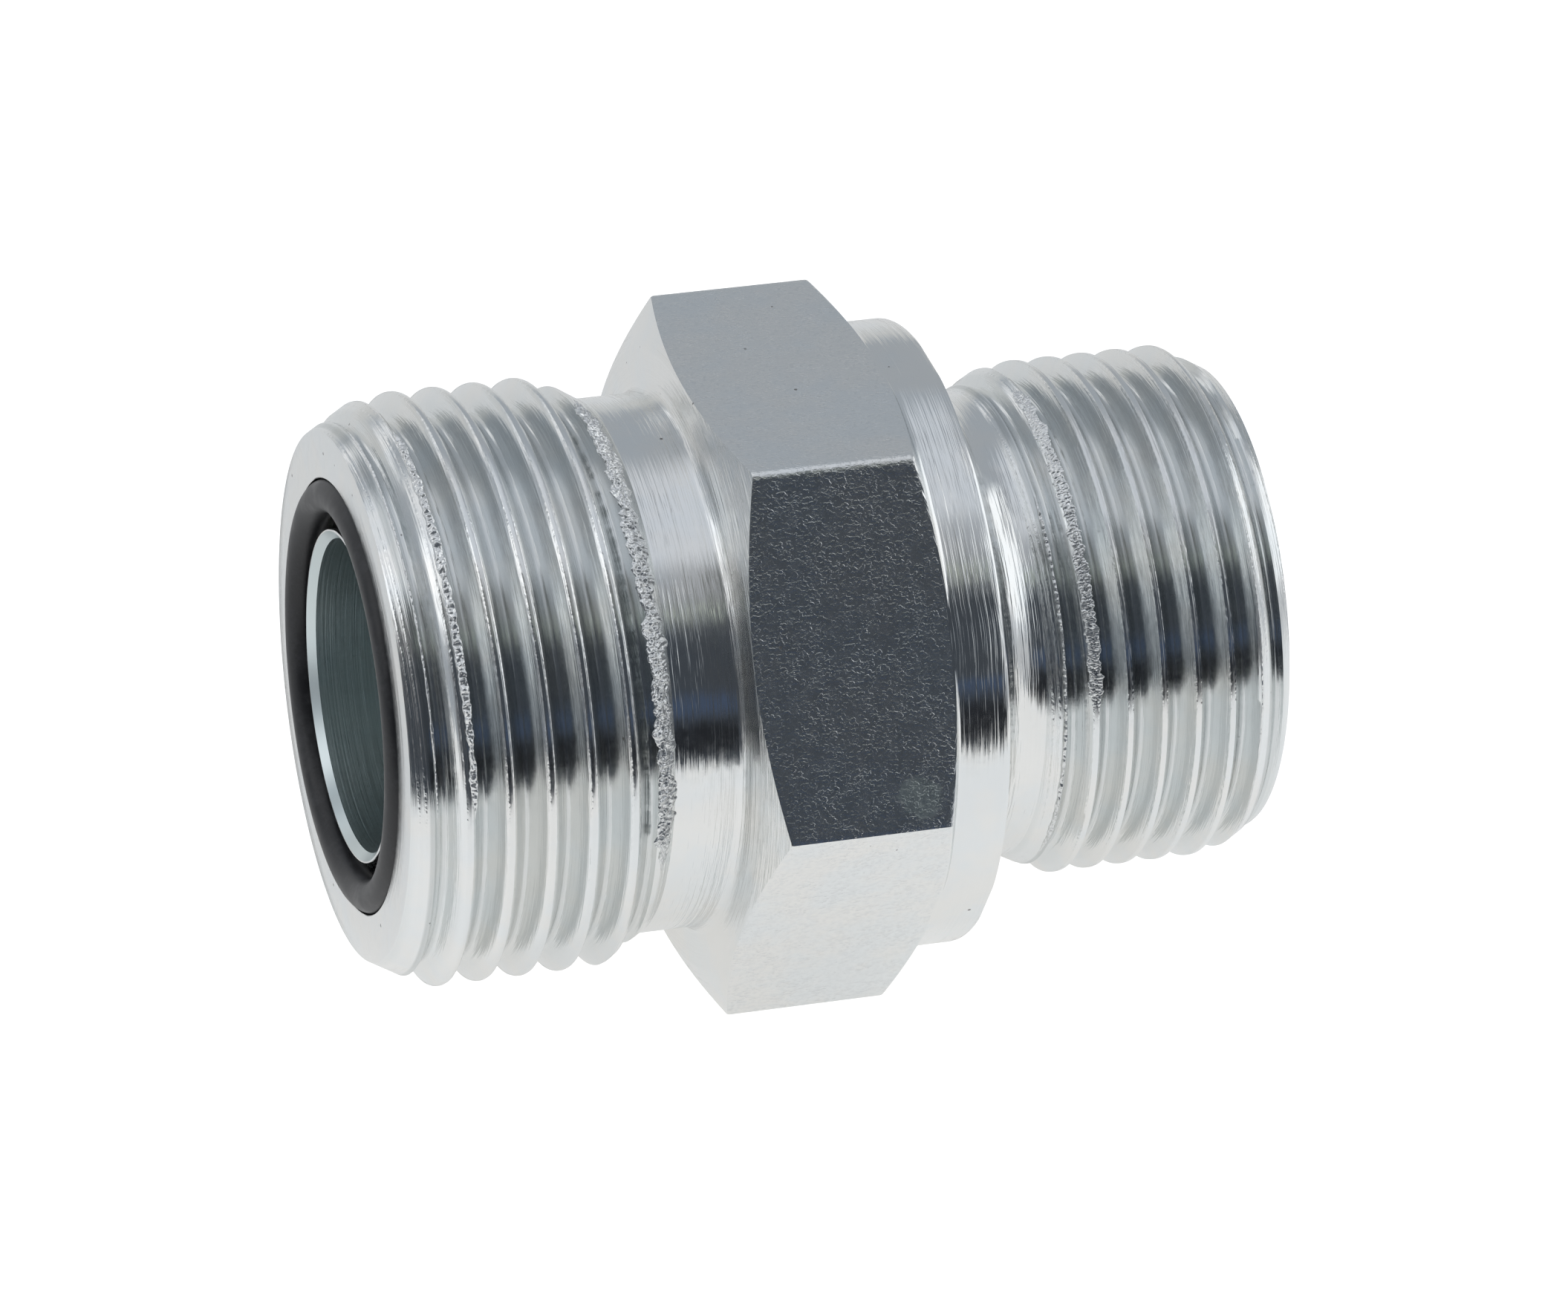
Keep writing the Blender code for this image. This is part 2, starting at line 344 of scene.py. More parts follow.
def make_plate_group():
    """Bright zinc plate: its colour drifts between bluish and yellowish, with small specks of dirt."""
    group, given = new_group("zinc plate", ["Position"], {"Color": "Color", "Roughness": "Float"})
    drift = noise(group, scaled(group, given["Position"], 0.22), detail=4.0, roughness=0.6)
    drift = soft_step(group, drift, 0.38, 0.62)
    colour = blend_colours(group, drift, bluish_plate, yellowish_plate)
    cells = place(group, "ShaderNodeTexVoronoi", given["Position"], None, 0.75)
    chance = place(group, "ShaderNodeSeparateColor", cells.outputs["Color"]).outputs[0]
    size = calc(group, "SUBTRACT", chance, specks_left_out)
    size = calc(group, "MULTIPLY", calc(group, "MAXIMUM", size, 0.0), 0.22)
    ragged = noise(group, given["Position"], detail=2.0)
    ragged = calc(group, "MULTIPLY_ADD", ragged, 0.05, cells.outputs["Distance"])
    speck = soft_step(group, calc(group, "SUBTRACT", ragged, size), 0.035, 0.02)
    colour = blend_colours(group, calc(group, "MULTIPLY", speck, 0.8), colour, dirt)
    rough = noise(group, scaled(group, given["Position"], 1.7), detail=4.0, roughness=0.65)
    rough = ramp_between(group, rough, 0.35, 0.65, -0.03, 0.05)
    rough = calc(group, "MULTIPLY_ADD", speck, 0.3, rough)
    place(group, "NodeGroupOutput", colour, rough)
    return group


scratches_across = 3.6
scratches_around = 2.5


def make_thread_marks_group():
    """Marks of cutting a thread: scratches along the helix, a small rolled edge on each crest,
    and masks for painted shade: darker roots, and shade on one flank and deep in the root."""
    inputs = ["Position", "Along", "Turn", "Pitch", "Crest place", "Crest half width"]
    masks = {"Height": "Float", "Root": "Float", "Painted shade": "Float"}
    group, given = new_group("thread marks", inputs, masks)
    phase = calc(group, "SUBTRACT", given["Along"], given["Crest place"])
    phase = calc(group, "DIVIDE", phase, given["Pitch"])
    phase = calc(group, "SUBTRACT", phase, given["Turn"])
    helix_angle = calc(group, "MULTIPLY", phase, math.tau)
    angle = calc(group, "MULTIPLY", given["Turn"], math.tau)
    across = calc(group, "MULTIPLY", calc(group, "COSINE", helix_angle), scratches_across)
    up_flank = calc(group, "MULTIPLY", calc(group, "SINE", helix_angle), scratches_across)
    along = calc(group, "MULTIPLY", given["Along"], 0.9)
    around = calc(group, "MULTIPLY_ADD", calc(group, "COSINE", angle), scratches_around, along)
    spot = place(group, "ShaderNodeCombineXYZ", across, up_flank, around).outputs[0]
    fourth = calc(group, "MULTIPLY", calc(group, "SINE", angle), scratches_around)
    scratches = noise(group, spot, fourth, 3.0, 0.6)
    off = calc(group, "MULTIPLY", calc(group, "PINGPONG", phase, 0.5), given["Pitch"])
    off_edge = calc(group, "ABSOLUTE", calc(group, "SUBTRACT", off, given["Crest half width"]))
    lumps = noise(group, scaled(group, given["Position"], 3.2), detail=2.0)
    lumps = ramp_between(group, lumps, 0.35, 0.65, 0.2, 1.2)
    edge = calc(group, "MULTIPLY", soft_step(group, off_edge, 0.09, 0.0), lumps)
    # A mask of the thread root, where the colour is painted darker as shade.
    root = soft_step(group, calc(group, "DIVIDE", off, given["Pitch"]), 0.12, 0.34)
    # A mask of painted shade on the flank that trails each crest and deep in the root.
    signed = calc(group, "SUBTRACT", calc(group, "FRACT", calc(group, "ADD", phase, 0.5)), 0.5)
    flank = soft_step(group, signed, 0.12, 0.18)
    flank = calc(group, "MULTIPLY", flank, soft_step(group, signed, 0.33, 0.27))
    deep = soft_step(group, calc(group, "ABSOLUTE", signed), 0.42, 0.47)
    painted_shade = calc(group, "MAXIMUM", flank, calc(group, "MULTIPLY", deep, 0.45))
    painted_shade = calc(group, "MULTIPLY", painted_shade, ramp_between(group, scratches, 0.3, 0.6, 1.0, 0.7))
    place(group, "NodeGroupOutput", calc(group, "MULTIPLY_ADD", edge, 0.45, scratches), root, painted_shade)
    return group


axis_places = make_axis_group()
tool_lines = make_tool_lines_group()
zinc_plate = make_plate_group()
thread_marks = make_thread_marks_group()


def start_zinc(name, roughness, wear=1.0):
    """A zinc plated metal: its tree, shader and places, with the plate's colour and roughness."""
    material = bpy.data.materials.new(name)
    material.use_nodes = True
    tree = material.node_tree
    shader = tree.nodes["Principled BSDF"]
    shader.inputs["Metallic"].default_value = 1.0
    places = use(tree, axis_places)
    plate = use(tree, zinc_plate, places["Spot"])
    tree.links.new(plate["Color"], shader.inputs["Base Color"])
    rough = calc(tree, "MULTIPLY_ADD", plate["Roughness"], wear, roughness)
    tree.links.new(rough, shader.inputs["Roughness"])
    return material, tree, shader, places


def set_relief(tree, shader, height, depth):
    """Give the shader a relief of this depth in metres."""
    relief = place(tree, "ShaderNodeBump")
    relief.inputs["Strength"].default_value = 1.0
    relief.inputs["Distance"].default_value = depth
    tree.links.new(height, relief.inputs["Height"])
    tree.links.new(relief.outputs[0], shader.inputs["Normal"])


def recolour(tree, shader, share, colour):
    """Blend the shader's colour towards another."""
    plain = shader.inputs["Base Color"].links[0].from_socket
    tree.links.new(blend_colours(tree, share, plain, colour), shader.inputs["Base Color"])


thread_relief = 0.000026
# Colours of painted shade: in the thread roots, and on the flank that trails each crest and deep in the
# root.
root_painted_shade = (0.60, 0.635, 0.63, 1.0)
flank_painted_shade = (0.33, 0.36, 0.36, 1.0)


def make_threaded_zinc(name, sizes):
    material, tree, shader, places = start_zinc("zinc_" + name, 0.15)
    marks = use(
        tree, thread_marks, places["Spot"], places["Along"], places["Turn"],
        sizes["Pitch"] * 1000, sizes["Crest at top"] * 1000, sizes["Crest width"] * 500,
    )
    set_relief(tree, shader, marks["Height"], thread_relief)
    # Painted shade: the thread roots are darkened.
    recolour(tree, shader, calc(tree, "MULTIPLY", marks["Root"], 0.22), root_painted_shade)
    # Painted shade: the flank that trails each crest and the bottom of the root are darkened.
    recolour(tree, shader, calc(tree, "MULTIPLY", marks["Painted shade"], 0.52), flank_painted_shade)
    return material


thread_metals = {
    name: make_threaded_zinc(name, sizes)
    for name, sizes in thread_sizes.items()
}
thread_tree = make_thread_tree(list(thread_sizes["face_thread"]))
grid_sizes = {
    "Rows": rows_around,
    "Columns per pitch": columns_per_pitch,
    "Row crowding": row_crowding,
    "Column crowding": column_crowding,
}
thread_meshes = [
    make_bent_mesh(name, {**sizes, **grid_sizes}, thread_tree, thread_metals[name])
    for name, sizes in thread_sizes.items()
]


# The rest of the fitting. A piece of drawn hexagon bar, turned down to a neck, a collar and an
# undercut, bored through, with a groove for the ring in its sealing face. Each ring of points
# is a place along the axis and a radius, and both may change round the hexagon.

across_flats = 0.0320
bar_corner_rounding = (0.00045, 0.00018, 0.00018, 0.00018, 0.00030, 0.00018)
chamfer_slope = math.tan(math.radians(22))
hex_start = 0.01715
hex_face_radius = 0.0159
collar_start = 0.02741
collar_radius = 0.01610
shoulder = 0.03020
bore_radius = 0.0080
body_length = 0.04633

even_angles = np.arange(rows_around) * math.tau / rows_around
row_angles = even_angles + row_crowding / bar_corners * np.sin(bar_corners * even_angles)
around = np.ones(rows_around)


def hexagon_radius(angles):
    """Distance from the axis to the drawn bar's surface, with each corner rounded in its own way."""
    sector = math.tau / bar_corners
    rounding = np.array(bar_corner_rounding)[(angles % math.tau // sector).astype(int)]
    off_corner = np.abs((angles % sector) - sector / 2)
    flat = across_flats / 2 / np.cos(sector / 2 - off_corner)
    centre = (across_flats / 2 - rounding) / math.cos(sector / 2)
    inside = rounding**2 - (centre * np.sin(off_corner)) ** 2
    corner = centre * np.cos(off_corner) + np.sqrt(np.maximum(inside, 0.0))
    tangent = np.arctan((across_flats / 2 - rounding) * math.tan(sector / 2) / (across_flats / 2))
    return np.where(off_corner < sector / 2 - tangent, corner, flat)


def arc(centre_x, centre_radius, size, start, end, steps):
    """Rings along a round corner, from one angle to the other in degrees."""
    angles = np.radians(np.linspace(start, end, steps + 1))
    return [
        (centre_x + size * math.cos(a), centre_radius + size * math.sin(a))
        for a in angles
    ]


bar_radius = hexagon_radius(row_angles)
collar_on_bar = np.minimum(collar_radius, bar_radius)
hex_front = hex_start + (bar_radius - hex_face_radius) * chamfer_slope
hex_back = collar_start - (bar_radius - collar_on_bar) * chamfer_slope

face_sizes = thread_sizes["face_thread"]
port_sizes = thread_sizes["port_thread"]
neck_radius = face_sizes["Back radius"]
neck_fillet = 0.0006
undercut_radius = port_sizes["Front radius"]

joint_width = 0.00003
neck_places = (0.0145, 0.0155)
hex_face_middle = 0.0150
outer_rings = [
    ("turned", face_sizes["End"], neck_radius),
    ("turned", face_sizes["End"] + joint_width, neck_radius),
]
outer_rings += [("turned", x, neck_radius) for x in neck_places]
outer_rings += [
    ("turned", x, r)
    for x, r in arc(hex_start - neck_fillet, neck_radius + neck_fillet, neck_fillet, -90, 0, 10)
]
outer_rings += [
    ("turned", hex_start, hex_face_middle),
    ("turned", hex_start, hex_face_radius - joint_width),
    ("turned", hex_start, hex_face_radius),
]
for share in (0.33, 0.66, 0.98):
    outer_rings.append((
        "turned", hex_start + (hex_front - hex_start) * share,
        hex_face_radius + (bar_radius - hex_face_radius) * share,
    ))
for share in (0.01, 0.03, 0.25, 0.5, 0.75, 0.97, 0.99):
    outer_rings.append(("flat", hex_front + (hex_back - hex_front) * share, bar_radius))
collar_fillet = 0.00024
cone_run = np.minimum(collar_fillet, bar_radius - collar_on_bar)
fillet_top_x = collar_start - cone_run * chamfer_slope
fillet_top_radius = collar_on_bar + cone_run
for share in (0.02, 0.35, 0.7, 1.0):
    outer_rings.append((
        "turned", hex_back + (fillet_top_x - hex_back) * share,
        bar_radius + (fillet_top_radius - bar_radius) * share,
    ))
for share in (0.17, 0.33, 0.5, 0.67, 0.83, 1.0):
    top, low = (1 - share) ** 2, share**2
    bend_x = top * fillet_top_x + (1 - top - low) * collar_start
    bend_x = bend_x + low * (collar_start + collar_fillet)
    bend_radius = top * fillet_top_radius + (1 - top) * collar_on_bar
    outer_rings.append(("turned", bend_x, bend_radius))

# The collar's outer edge is rounded: how far each ring lies before the shoulder and inside
# the collar's radius.
collar_middle = 0.0288
collar_edge = ((0.0003, 0.0), (0.00015, 0.00002), (0.00004, 0.00008), (0.0, 0.0002))
shoulder_middle = 0.0154
outer_rings.append(("turned", collar_middle, collar_on_bar))
outer_rings += [
    ("turned", shoulder - before, collar_on_bar - inside)
    for before, inside in collar_edge
]
outer_rings.append(("turned", shoulder, shoulder_middle))
undercut_fillet = 0.0030
outer_rings += [
    ("turned", x, r)
    for x, r in arc(
        shoulder + undercut_fillet, undercut_radius + undercut_fillet, undercut_fillet, 180, 270, 16
    )
]
outer_rings += [
    ("turned", port_sizes["Start"] - joint_width, undercut_radius),
    ("turned", port_sizes["Start"], undercut_radius),
]

sealing_radius = 0.01350
sealing_edge = (0.00001, 0.013525)
sealing_middle = 0.0124
rim_back = 0.0002
rim_radius = 0.0085
rim_edge = 0.00003
groove_radius = 0.0111
groove_depth = 0.00162
groove_edge = 0.00004
groove_corner = 0.0001
bore_places = (0.0010, 0.0230, 0.0452)
mouth_chamfer = 0.0004
port_mouth_chamfer = 0.0006
port_face_middle = 0.0100
inner_rings = [
    ("turned", face_sizes["Start"], face_sizes["Front radius"]),
    ("turned", *sealing_edge),
    ("faced", 0.0, sealing_radius),
    ("faced", 0.0, sealing_middle),
    ("faced", 0.0, groove_radius + groove_edge),
    ("turned", groove_edge, groove_radius),
    ("turned", groove_depth - groove_corner, groove_radius),
    ("turned", groove_depth, groove_radius - groove_corner),
    ("turned", groove_depth, rim_radius + groove_corner),
    ("turned", groove_depth - groove_corner, rim_radius),
    ("turned", rim_back + rim_edge, rim_radius),
    ("turned", rim_back, rim_radius - rim_edge),
    ("faced", rim_back, bore_radius + mouth_chamfer),
    ("bore", rim_back + mouth_chamfer, bore_radius),
]
inner_rings += [("bore", x, bore_radius) for x in bore_places]
inner_rings += [
    ("turned", body_length - port_mouth_chamfer, bore_radius),
    ("turned", body_length, bore_radius + port_mouth_chamfer),
    ("turned", body_length, port_face_middle),
    ("turned", body_length, port_sizes["Back radius"]),
]


def make_turned_zinc(name, roughness, spacing, breaks, depth, wear=1.0):
    material, tree, shader, places = start_zinc(name, roughness, wear)
    place_across = calc(tree, "ADD", places["Along"], places["Radius"])
    lines = use(tree, tool_lines, place_across, places["Turn"], spacing, breaks)
    set_relief(tree, shader, lines["Height"], depth)
    return material


drawn_relief = 0.0000112
pit_bottom = (0.66, 0.68, 0.69, 1.0)
scuffed_corner = (9.24, 16.0)
drop_middle = (25.04, 17.64, 1.45)
dried_drop = (0.50, 0.62, 0.55, 1.0)


def make_drawn_zinc(name):
    """The bar's drawn skin: shallow pits drawn out along the axis, and scuffs beside one corner."""
    material, tree, shader, places = start_zinc(name, 0.19)
    pits = noise(tree, scaled(tree, places["Spot"], 4.3, 5.8), detail=2.0, roughness=0.5)
    pits = soft_step(tree, pits, 0.43, 0.64)
    patches = noise(tree, places["Spot"], detail=3.0, roughness=0.6)
    pits = calc(tree, "MULTIPLY", pits, ramp_between(tree, patches, 0.35, 0.62, 0.5, 1.0))
    draw_lines = noise(tree, scaled(tree, places["Spot"], 0.2, 4.0), detail=3.0, roughness=0.6)
    corner = place(tree, "ShaderNodeCombineXYZ", places["Along"], *scuffed_corner).outputs[0]
    scuffed = soft_step(tree, distance(tree, places["Spot"], corner), 1.1, 0.3)
    scuffs = noise(tree, scaled(tree, places["Spot"], 1.2, 3.0), detail=4.0, roughness=0.7)
    scuffs = calc(tree, "MULTIPLY", scuffed, scuffs)
    height = calc(tree, "MULTIPLY_ADD", draw_lines, 0.3, pits)
    height = calc(tree, "MULTIPLY_ADD", scuffs, 2.5, height)
    set_relief(tree, shader, height, drawn_relief)
    recolour(tree, shader, calc(tree, "MULTIPLY", pits, 0.3), pit_bottom)

    # A dried drop low on the facet that faces the camera: greenish and a little duller.
    wavy = noise(tree, places["Spot"], detail=4.0, roughness=0.6)
    wavy = calc(tree, "MULTIPLY_ADD", wavy, 1.1, distance(tree, places["Spot"], drop_middle))
    inside = calc(tree, "MULTIPLY", soft_step(tree, wavy, 1.80, 1.50), 0.35)
    recolour(tree, shader, inside, dried_drop)
    plain = shader.inputs["Roughness"].links[0].from_socket
    tree.links.new(calc(tree, "MULTIPLY_ADD", inside, 0.32, plain), shader.inputs["Roughness"])
    return material


finishes = {
    "face_thread": thread_metals["face_thread"],
    "port_thread": thread_metals["port_thread"],
    "turned": make_turned_zinc("zinc_turned", 0.12, 0.22, 1.6, 0.000060),
    "faced": make_turned_zinc("zinc_faced", 0.20, 0.25, 1.6, 0.000014),
    "flat": make_drawn_zinc("zinc_drawn"),
    "bore": make_turned_zinc("zinc_bore", 0.30, 0.14, 0.6, 0.000017, wear=0.1),
}

# Inside the bore the colour is painted greener and darker: painted shade in the bore.
bore_painted_shade = (0.58, 0.69, 0.70, 1.0)
bore_tree = finishes["bore"].node_tree
recolour(bore_tree, bore_tree.nodes["Principled BSDF"], 0.6, bore_painted_shade)

finish_names = list(finishes)
sharp_angle = math.radians(24)
sharp_thread_angle = math.radians(43)


def add_strip(skin, rings):
    """Join rings of points with faces. A face takes the finish of its second ring."""
    strip = []
    for _, x, radius in rings:
        places = face_x + x * around
        strip.append([
            skin.verts.new((px, -r * math.sin(a), axis_height + r * math.cos(a)))
            for px, r, a in zip(places, radius * around, row_angles)
        ])
    for (ring, after), (finish, _, _) in zip(zip(strip, strip[1:]), rings[1:]):
        for k in range(rows_around):
            n = (k + 1) % rows_around
            face = skin.faces.new((ring[k], ring[n], after[n], after[k]))
            face.material_index = finish_names.index(finish)


skin = bmesh.new()
for name, mesh in zip(thread_sizes, thread_meshes):
    mesh.polygons.foreach_set("material_index", [finish_names.index(name)] * len(mesh.polygons))
    skin.from_mesh(mesh)
    bpy.data.meshes.remove(mesh)
add_strip(skin, outer_rings)
add_strip(skin, inner_rings)
bmesh.ops.remove_doubles(skin, verts=skin.verts, dist=weld_distance)
bmesh.ops.dissolve_degenerate(skin, edges=skin.edges, dist=weld_distance / 4)
bmesh.ops.recalc_face_normals(skin, faces=skin.faces)
thread_finishes = [finish_names.index(name) for name in thread_sizes]
for face in skin.faces:
    face.smooth = True
for edge in skin.edges:
    threaded = all(face.material_index in thread_finishes for face in edge.link_faces)
    edge.smooth = edge.calc_face_angle() < (sharp_thread_angle if threaded else sharp_angle)
body_mesh = bpy.data.meshes.new("threaded_fitting")
skin.to_mesh(body_mesh)
skin.free()
for material in finishes.values():
    body_mesh.materials.append(material)
body = bpy.data.objects.new("threaded_fitting", body_mesh)
bpy.context.scene.collection.objects.link(body)
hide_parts("fitting_body")
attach(body, "root")


# The burrs. The dies tore the steel here and there: a rolled edge on the first crest of the
# face thread, crumpled flakes over its last turn, and beads and a torn crest where the port
# thread starts. They belong to the bar and are plated with it, and each is a closed, lumpy strip.

burr_sizes = {
    "first_edge": {
        "From": -14, "To": 86, "Place": 0.00076, "Lead": 0.0015875,
        "Radius": 0.01396, "Slope": -0.577, "Half width": 0.00006, "Half height": 0.00005,
        "Lump height": 0.00007, "Lumps per millimetre": 5.0,
        "Points along": 420, "Points round": 13,
    },
    "rolled_edge": {
        "From": -2, "To": 84, "Place": 0.00238, "Lead": 0.0021167,
        "Radius": 0.01496, "Slope": -0.25, "Half width": 0.00022, "Half height": 0.00012,
        "Lump height": 0.00018, "Lumps per millimetre": 4.2,
        "Points along": 420, "Points round": 17,
    },
    "crumpled_flakes": {
        "From": -14, "To": 106, "Place": 0.01258, "Lead": 0.0013,
        "Radius": 0.01427, "Slope": 0.62, "Half width": 0.00058, "Half height": 0.00012,
        "Lump height": 0.00017, "Lumps per millimetre": 5.2,
        "Points along": 640, "Points round": 41,
    },
    "port_beads": {
        "From": 28, "To": 132, "Place": 0.03410, "Lead": 0.0009,
        "Radius": 0.01238, "Slope": -0.53, "Half width": 0.00010, "Half height": 0.00008,
        "Lump height": 0.00014, "Lumps per millimetre": 3.8,
        "Points along": 420, "Points round": 15,
    },
    "port_torn_crest": {
        "From": -8, "To": 84, "Place": 0.03520, "Lead": 0.0018143,
        "Radius": 0.01294, "Slope": -0.45, "Half width": 0.00032, "Half height": 0.00004,
        "Lump height": 0.00010, "Lumps per millimetre": 9.5,
        "Points along": 700, "Points round": 29,
    },
    "port_last_edge": {
        "From": 52, "To": 128, "Place": 0.04440, "Lead": 0.0012,
        "Radius": 0.01314, "Slope": 0.45, "Half width": 0.00006, "Half height": 0.00004,
        "Lump height": 0.00005, "Lumps per millimetre": 3.5,
        "Points along": 320, "Points round": 13,
    },
}


def make_burr_tree(input_names):
    """Bend a grid into a closed strip that lies along a thread, and raise lumps on its outer side."""
    counts = ("Points along", "Points round")
    numbers = [name for name in input_names if name not in counts]
    tree, size = start_mesh_tree("lumpy strip", numbers, counts)
    grid = place(tree, "GeometryNodeMeshGrid", 1.0, 1.0, size["Points along"], size["Points round"])

    column, row = grid_places(tree, size["Points round"])
    share = calc(tree, "DIVIDE", column, calc(tree, "SUBTRACT", size["Points along"], 1.0))
    round_angle = calc(tree, "DIVIDE", row, calc(tree, "SUBTRACT", size["Points round"], 1.0))
    round_angle = calc(tree, "MULTIPLY", round_angle, math.tau)
    degrees = calc(tree, "MULTIPLY", share, calc(tree, "SUBTRACT", size["To"], size["From"]))
    angle = calc(tree, "RADIANS", calc(tree, "ADD", degrees, size["From"]))
    middle = calc(tree, "MULTIPLY", calc(tree, "DIVIDE", degrees, 360.0), size["Lead"])

    nearer_end = calc(tree, "MINIMUM", share, calc(tree, "SUBTRACT", 1.0, share))
    taper = calc(tree, "MINIMUM", calc(tree, "MULTIPLY", nearer_end, 12.0), 1.0)
    cosine, sine = calc(tree, "COSINE", angle), calc(tree, "SINE", angle)
    sideways = calc(tree, "MULTIPLY", size["Half width"], calc(tree, "COSINE", round_angle))
    per_metre = calc(tree, "MULTIPLY", size["Lumps per millimetre"], 1000.0)
    spot = place(
        tree, "ShaderNodeCombineXYZ", calc(tree, "ADD", middle, sideways),
        calc(tree, "MULTIPLY", size["Radius"], sine), calc(tree, "MULTIPLY", size["Radius"], cosine),
    ).outputs[0]
    spot = place(tree, "ShaderNodeVectorMath", spot, None, None, per_metre, operation="SCALE")
    spot = spot.outputs[0]
    lumps = place(tree, "ShaderNodeTexNoise", spot, None, 1.0, 3.0, 0.6).outputs[0]
    lumps = ramp_between(tree, lumps, 0.36, 0.66, -0.45, 1.0)
    waver = place(tree, "ShaderNodeTexNoise", scaled(tree, spot, 0.22), None, 1.0, 3.0, 0.6)
    waver = waver.outputs[0]
    waver = ramp_between(tree, waver, 0.3, 0.7, 0.45, 1.35)
    sideways = calc(tree, "MULTIPLY", calc(tree, "MULTIPLY", sideways, taper), waver)
    outer = calc(tree, "SINE", round_angle)
    lumps = calc(tree, "MULTIPLY", lumps, size["Lump height"])
    rise = calc(tree, "MULTIPLY", calc(tree, "MAXIMUM", outer, 0.0), lumps)
    rise = calc(tree, "MULTIPLY_ADD", outer, size["Half height"], rise)
    rise = calc(tree, "MULTIPLY", rise, taper)
    off = calc(tree, "ADD", middle, sideways)
    radius = calc(tree, "SUBTRACT", size["Radius"], calc(tree, "MULTIPLY", off, size["Slope"]))
    radius = calc(tree, "ADD", radius, rise)
    along = calc(tree, "ADD", calc(tree, "ADD", off, size["Place"]), size["Face place"])
    across = calc(tree, "MULTIPLY", calc(tree, "MULTIPLY", radius, sine), -1.0)
    upwards = calc(tree, "MULTIPLY_ADD", radius, cosine, size["Axis height"])
    finish_mesh_tree(tree, size, grid, along, across, upwards)
    return tree


burr_relief = 0.000020
burr_painted_glint = (0.93, 0.94, 0.94, 1.0)
burr_metal, tree, shader, places = start_zinc("zinc_burr", 0.22)
# The burrs are painted lighter than the plate and given a share of plain diffuse colour: painted
# glints, so that they stay bright where their metal reflects the dark side of the studio.
shader.inputs["Metallic"].default_value = 0.78
recolour(tree, shader, 0.8, burr_painted_glint)
fine = noise(tree, scaled(tree, places["Spot"], 9.0), detail=2.0)
set_relief(tree, shader, fine, burr_relief)

burr_tree = make_burr_tree(list(burr_sizes["rolled_edge"]))
burr_weld_distance = 5e-8
burr_skin = bmesh.new()
for name, sizes in burr_sizes.items():
    sizes = {**sizes, "Weld distance": burr_weld_distance}
    mesh = make_bent_mesh(name, sizes, burr_tree, burr_metal)
    burr_skin.from_mesh(mesh)
    bpy.data.meshes.remove(mesh)
bmesh.ops.recalc_face_normals(burr_skin, faces=burr_skin.faces)
burr_mesh = bpy.data.meshes.new("thread_burrs")
burr_skin.to_mesh(burr_mesh)
burr_skin.free()
burr_mesh.materials.append(burr_metal)
burr_mesh.shade_smooth()
burrs = bpy.data.objects.new("thread_burrs", burr_mesh)
bpy.context.scene.collection.objects.link(burrs)
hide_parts("fitting_body")
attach(burrs, "root")


# The rubber ring. A moulded nitrile ring of 1.78 mm section, pushed into the groove, where it
# presses on the outer wall and stands out a little from the sealing face.

ring_section = 0.00178
ring_radius = 0.0102
ring_stand_out = 0.00046
rubber_relief = 0.000004
dark_rubber = (0.022, 0.022, 0.025, 1.0)
dusty_rubber = (0.050, 0.050, 0.054, 1.0)

bpy.ops.mesh.primitive_torus_add(
    major_segments=180, minor_segments=32, major_radius=ring_radius, minor_radius=ring_section / 2,
    location=(0.0, 0.0, 0.0), rotation=(0.0, 0.0, 0.0),
)
ring = bpy.context.object
ring.name = ring.data.name = "rubber_ring"
turn_ring = Euler((0.0, math.pi / 2, 0.0)).to_matrix().to_4x4()
ring.data.transform(turn_ring)
ring_place = Vector((face_x - ring_stand_out + ring_section / 2, 0.0, axis_height))
for vertex in ring.data.vertices:
    vertex.co += ring_place
ring.data.shade_smooth()
rubber = bpy.data.materials.new("black_rubber")
rubber.use_nodes = True
tree = rubber.node_tree
rubber_shader = tree.nodes["Principled BSDF"]
spot = use(tree, axis_places)["Spot"]
dust = noise(tree, scaled(tree, spot, 0.8), detail=5.0, roughness=0.65)
colour = blend_colours(tree, soft_step(tree, dust, 0.42, 0.68), dark_rubber, dusty_rubber)
tree.links.new(colour, rubber_shader.inputs["Base Color"])
tree.links.new(ramp_between(tree, dust, 0.35, 0.65, 0.36, 0.5), rubber_shader.inputs["Roughness"])
grain = noise(tree, scaled(tree, spot, 9.0), detail=2.0)
set_relief(tree, rubber_shader, grain, rubber_relief)
ring.data.materials.append(rubber)
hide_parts("face_o_ring")
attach(ring, "root")


# The table and the light. A white table under the part, whose near edge lies just outside the
# picture, in a plain studio: a dark room behind the camera, a wide soft light on either side,
# and grey walls beyond.

table_radius = 0.60
table_middle = Vector((0.19, 0.49))

table_points = bmesh.new()
bmesh.ops.create_circle(table_points, cap_ends=True, segments=128, radius=table_radius)
table_mesh = bpy.data.meshes.new("table")
table_points.to_mesh(table_mesh)
table_points.free()
for vertex in table_mesh.vertices:
    vertex.co.xy += table_middle
table = bpy.data.objects.new("table", table_mesh)
bpy.context.scene.collection.objects.link(table)

white_table = bpy.data.materials.new("white_table")
white_table.use_nodes = True
tree = white_table.node_tree
tree.nodes.clear()
path = place(tree, "ShaderNodeLightPath").outputs
seen = calc(tree, "MAXIMUM", path["Is Camera Ray"], path["Is Glossy Ray"])
seen = calc(tree, "MAXIMUM", seen, path["Is Transmission Ray"])
paint = place(tree, "ShaderNodeBsdfDiffuse", (0.65, 0.65, 0.64, 1.0))
spot = place(tree, "ShaderNodeTexCoord").outputs["Object"]
